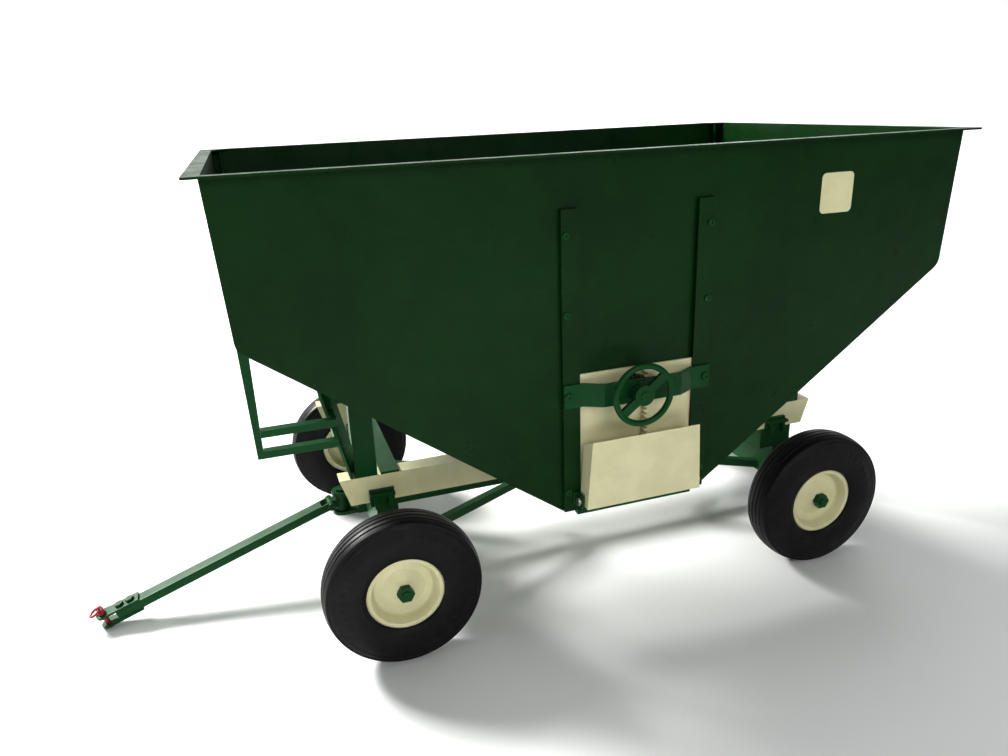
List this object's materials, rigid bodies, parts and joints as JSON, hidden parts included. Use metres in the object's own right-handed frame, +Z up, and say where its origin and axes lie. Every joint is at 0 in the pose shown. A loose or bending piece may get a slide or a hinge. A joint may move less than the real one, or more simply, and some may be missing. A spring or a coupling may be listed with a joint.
{
  "type": "gravity wagon",
  "caption": "Scale-model gravity wagon: side-unloading hopper box with rack-and-pinion gate, handwheel, folding chute, sills, braced running gear and tongue with clevis.",
  "frame": {"origin": "middle of the bounding box, on the ground under the wheels", "axes": "+X from the tongue to the rear, -Y towards the door and chute, +Z up"},
  "size_m": [0.5772, 0.3024, 0.3025],
  "materials": {
    "green_paint": "semi-gloss",
    "cream_paint": "semi-gloss",
    "tyre_rubber": "satin",
    "zinc_steel": "satin",
    "dark_steel": "oiled",
    "red_paint": "semi-gloss"
  },
  "bodies": {
    "wagon": {"near_side_panel": "green_paint", "far_side_panel": "green_paint", "front_sheet": "green_paint", "rear_sheet": "green_paint", "floor_sheet": "green_paint", "rim_flange": "green_paint", "corner_gussets": "green_paint", "corner_angles": "green_paint", "discharge_lip": "green_paint", "guide_rail_front": "green_paint", "guide_rail_rear": "green_paint", "rail_screws": "zinc_steel", "rail_nuts": "zinc_steel", "shaft_strap": "green_paint", "strap_bolts": "zinc_steel", "strap_nuts": "zinc_steel", "shaft_bush": "zinc_steel", "chute_lugs": "green_paint", "chute_pins": "zinc_steel", "ladder_stile": "green_paint", "ladder_rungs": "green_paint", "splayed_leg": "green_paint", "support_posts": "green_paint", "cross_ties": "green_paint", "box_sills": "cream_paint", "front_axle": "green_paint", "rear_axle": "green_paint", "front_bolster": "green_paint", "rear_bolster": "green_paint", "sill_brackets": "green_paint", "reach_pole": "green_paint", "front_hounds": "green_paint", "rear_hounds": "green_paint", "spindles": "green_paint", "hub_nuts": "green_paint", "tongue_yoke": "green_paint", "swivel_pin": "green_paint"},
    "swivel": {"swivel_block": "green_paint", "hinge_bolt": "green_paint"},
    "tongue": {"tongue_tube": "green_paint", "clevis_top_plate": "green_paint", "clevis_bottom_plate": "green_paint", "clevis_bolts": "green_paint", "clevis_nuts": "green_paint"},
    "hitch_pin_body": {"hitch_pin": "red_paint"},
    "ring_body": {"pull_ring": "red_paint"},
    "gate": {"gate_plate": "cream_paint", "gate_rack": "cream_paint"},
    "handwheel_body": {"handwheel": "green_paint", "wheel_shaft": "green_paint", "pinion": "dark_steel"},
    "chute": {"chute_pan": "cream_paint"},
    "front_near_wheel": {"front_near_tyre": "tyre_rubber", "front_near_rim": "cream_paint"},
    "front_far_wheel": {"front_far_tyre": "tyre_rubber", "front_far_rim": "cream_paint"},
    "rear_near_wheel": {"rear_near_tyre": "tyre_rubber", "rear_near_rim": "cream_paint"},
    "rear_far_wheel": {"rear_far_tyre": "tyre_rubber", "rear_far_rim": "cream_paint"}
  },
  "joints": [
    {"name": "front_near_wheel_spin", "type": "hinge", "parent": "wagon", "child": "front_near_wheel", "pos_m": [-0.08998, -0.1093, 0.04965], "axis": [0, 1, 0], "continuous": true},
    {"name": "front_far_wheel_spin", "type": "hinge", "parent": "wagon", "child": "front_far_wheel", "pos_m": [-0.08998, 0.1231, 0.04965], "axis": [0, 1, 0], "continuous": true},
    {"name": "rear_near_wheel_spin", "type": "hinge", "parent": "wagon", "child": "rear_near_wheel", "pos_m": [0.21332, -0.1093, 0.04965], "axis": [0, 1, 0], "continuous": true},
    {"name": "rear_far_wheel_spin", "type": "hinge", "parent": "wagon", "child": "rear_far_wheel", "pos_m": [0.21332, 0.1231, 0.04965], "axis": [0, 1, 0], "continuous": true},
    {"name": "tongue_swing", "type": "hinge", "parent": "wagon", "child": "swivel", "pos_m": [-0.11168, 0.0069, 0.055], "axis": [0, 0, 1], "range_deg": [-43, 33]},
    {"name": "tongue_lift", "type": "hinge", "parent": "swivel", "child": "tongue", "pos_m": [-0.12045, 0.00613, 0.055], "axis": [-0.0872, 0.9962, 0], "range_deg": [0, 52]},
    {"name": "hitch_pin_lift", "type": "slide", "parent": "tongue", "child": "hitch_pin_body", "axis": [-0.2913, -0.0255, 0.9563], "range_m": [0, 0.014]},
    {"name": "pull_ring_swing", "type": "hinge", "parent": "hitch_pin_body", "child": "ring_body", "pos_m": [-0.28166, -0.00797, 0.01483], "axis": [-0.0872, 0.9962, 0], "range_deg": [-8, 95]},
    {"name": "gate_lift", "type": "slide", "parent": "wagon", "child": "gate", "axis": [0, 0, 1], "range_m": [0, 0.06]},
    {"name": "handwheel_turn", "type": "hinge", "parent": "wagon", "child": "handwheel_body", "pos_m": [0.05232, -0.1486, 0.167], "axis": [0, -1, 0], "range_deg": [-1, 431]},
    {"name": "chute_fold", "type": "hinge", "parent": "wagon", "child": "chute", "pos_m": [0.05632, -0.1381, 0.1005], "axis": [1, 0, 0], "range_deg": [0, 100]}
  ],
  "couplings": [
    {"joint": "handwheel_turn", "follows": "gate_lift", "rad_per_m": 125}
  ]
}
